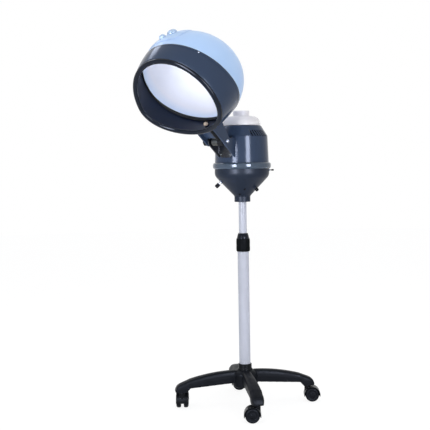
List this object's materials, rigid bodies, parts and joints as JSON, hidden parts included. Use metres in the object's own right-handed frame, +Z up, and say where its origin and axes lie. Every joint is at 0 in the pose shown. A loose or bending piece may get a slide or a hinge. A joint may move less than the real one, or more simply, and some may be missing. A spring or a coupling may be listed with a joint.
{
  "type": "hair steamer on a rolling stand",
  "caption": "Salon hair steamer: tilting hood on a steam boiler, on a height-adjustable post with a clamp and a caster base.",
  "frame": {"origin": "bottom centre of the whole object's box, on the floor between the casters", "axes": "+Z up along the post, -Y the way the hood's opening faces, +X to the viewer's right in a front view"},
  "size_m": [0.4148, 0.67, 1.3051],
  "materials": {
    "black_moulded_plastic": "lightly grained black moulding",
    "black_grip_plastic": "smooth black moulding",
    "white_painted_steel": "white powder coat",
    "slate_gloss_plastic": "polished dark blue-grey",
    "band_gloss_plastic": "polished blue-grey",
    "bowl_satin_plastic": "satin dark grey",
    "blue_dome_plastic": "translucent light blue",
    "pale_liner_plastic": "pale lilac white",
    "clear_tank_plastic": "milky translucent",
    "beige_nozzle_plastic": "beige moulding",
    "bright_steel": "bright steel",
    "pressed_steel": "plain pressed steel",
    "element_steel": "heat-darkened steel",
    "circuit_board": "green lacquered board",
    "black_rubber": "matt black rubber"
  },
  "bodies": {
    "base": {"base_star": "black_moulded_plastic", "post_bolt": "bright_steel", "post_plug": "pressed_steel", "lower_post": "white_painted_steel", "clamp_collet": "black_grip_plastic"},
    "slider": {"guide_bush": "pale_liner_plastic"},
    "clamp": {"clamp_nut": "black_grip_plastic"},
    "head": {"upper_post": "white_painted_steel", "boiler_bowl": "bowl_satin_plastic", "boiler_band": "band_gloss_plastic", "boiler_casing": "slate_gloss_plastic", "mounting_plate": "pressed_steel", "top_cover": "slate_gloss_plastic", "tank_seat": "pale_liner_plastic", "boiler_pot": "bright_steel", "pot_lid": "bright_steel", "heating_element": "element_steel", "thermostat": "beige_nozzle_plastic", "control_board": "circuit_board", "drain_shaft": "bright_steel", "control_shaft": "bright_steel", "toggle_bush": "bright_steel", "cone_screw_1": "black_grip_plastic", "cone_screw_2": "black_grip_plastic", "cord_gland": "black_moulded_plastic", "hinge_yoke": "black_moulded_plastic", "yoke_screw_1": "bright_steel", "yoke_screw_2": "bright_steel", "steam_outlet": "pressed_steel"},
    "tank": {"water_tank": "clear_tank_plastic", "tank_cap": "beige_nozzle_plastic"},
    "drain_turner": {"drain_knob": "black_grip_plastic"},
    "control_turner": {"control_knob": "black_grip_plastic"},
    "toggle": {"toggle_lever": "black_grip_plastic"},
    "hood": {"hood_ring": "slate_gloss_plastic", "hood_lip": "black_grip_plastic", "liner_gasket": "black_rubber", "hood_dome": "blue_dome_plastic", "hood_liner": "pale_liner_plastic", "crown_panel": "blue_dome_plastic", "crown_cap_1": "blue_dome_plastic", "crown_cap_2": "blue_dome_plastic", "hood_bracket": "black_moulded_plastic", "bracket_screw_1": "bright_steel", "bracket_screw_2": "bright_steel", "pivot_bolt": "bright_steel", "steam_elbow": "black_rubber", "steam_nozzle": "beige_nozzle_plastic"},
    "tilt_lock": {"tilt_knob": "black_grip_plastic"},
    "fork_1": {"caster_1_fork": "black_moulded_plastic"},
    "wheels_1": {"caster_1_wheels": "black_moulded_plastic"},
    "fork_2": {"caster_2_fork": "black_moulded_plastic"},
    "wheels_2": {"caster_2_wheels": "black_moulded_plastic"},
    "fork_3": {"caster_3_fork": "black_moulded_plastic"},
    "wheels_3": {"caster_3_wheels": "black_moulded_plastic"},
    "fork_4": {"caster_4_fork": "black_moulded_plastic"},
    "wheels_4": {"caster_4_wheels": "black_moulded_plastic"}
  },
  "joints": [
    {"name": "post_height", "type": "slide", "parent": "base", "child": "slider", "axis": [0, 0, 1], "range_m": [-0.1, 0.17]},
    {"name": "head_swivel", "type": "hinge", "parent": "slider", "child": "head", "pos_m": [-0.00299, 0.13056, 0.36], "axis": [0, 0, 1], "continuous": true},
    {"name": "clamp_twist", "type": "hinge", "parent": "base", "child": "clamp", "pos_m": [-0.00299, 0.13056, 0.58], "axis": [0, 0, 1], "range_deg": [0, 60]},
    {"name": "hood_tilt", "type": "hinge", "parent": "head", "child": "hood", "pos_m": [-0.00299, -0.01144, 0.9376], "axis": [1, 0, 0], "range_deg": [-8, 35]},
    {"name": "tilt_knob_turn", "type": "hinge", "parent": "hood", "child": "tilt_lock", "pos_m": [-0.00299, -0.01144, 0.9376], "axis": [-1, 0, 0], "range_deg": [0, 90]},
    {"name": "tank_lift", "type": "slide", "parent": "head", "child": "tank", "axis": [0, 0, 1], "range_m": [0, 0.06]},
    {"name": "drain_turn", "type": "hinge", "parent": "head", "child": "drain_turner", "pos_m": [-0.06516, 0.08704, 0.795], "axis": [-0.5911, -0.4139, -0.6923], "range_deg": [0, 90]},
    {"name": "control_turn", "type": "hinge", "parent": "head", "child": "control_turner", "pos_m": [0.05323, 0.13056, 0.7745], "axis": [0.7216, 0, -0.6923], "range_deg": [0, 270]},
    {"name": "toggle_flip", "type": "hinge", "parent": "head", "child": "toggle", "pos_m": [0.07948, 0.18831, 0.8365], "axis": [0, 0, 1], "range_deg": [-14, 14]},
    {"name": "caster_1_swivel", "type": "hinge", "parent": "base", "child": "fork_1", "pos_m": [0.15752, -0.02995, 0.06], "axis": [0, 0, 1], "continuous": true},
    {"name": "caster_1_roll", "type": "hinge", "parent": "fork_1", "child": "wheels_1", "pos_m": [0.14359, -0.0397, 0.025], "axis": [0.5736, -0.8191, 0], "continuous": true},
    {"name": "caster_2_swivel", "type": "hinge", "parent": "base", "child": "fork_2", "pos_m": [0.15752, 0.29107, 0.06], "axis": [0, 0, 1], "continuous": true},
    {"name": "caster_2_roll", "type": "hinge", "parent": "fork_2", "child": "wheels_2", "pos_m": [0.17144, 0.30083, 0.025], "axis": [-0.5736, 0.8191, 0], "continuous": true},
    {"name": "caster_3_swivel", "type": "hinge", "parent": "base", "child": "fork_3", "pos_m": [-0.16351, 0.29107, 0.06], "axis": [0, 0, 1], "continuous": true},
    {"name": "caster_3_roll", "type": "hinge", "parent": "fork_3", "child": "wheels_3", "pos_m": [-0.14958, 0.30083, 0.025], "axis": [-0.5736, 0.8191, 0], "continuous": true},
    {"name": "caster_4_swivel", "type": "hinge", "parent": "base", "child": "fork_4", "pos_m": [-0.16351, -0.02995, 0.06], "axis": [0, 0, 1], "continuous": true},
    {"name": "caster_4_roll", "type": "hinge", "parent": "fork_4", "child": "wheels_4", "pos_m": [-0.17326, -0.01603, 0.025], "axis": [-0.8191, -0.5736, 0], "continuous": true}
  ]
}
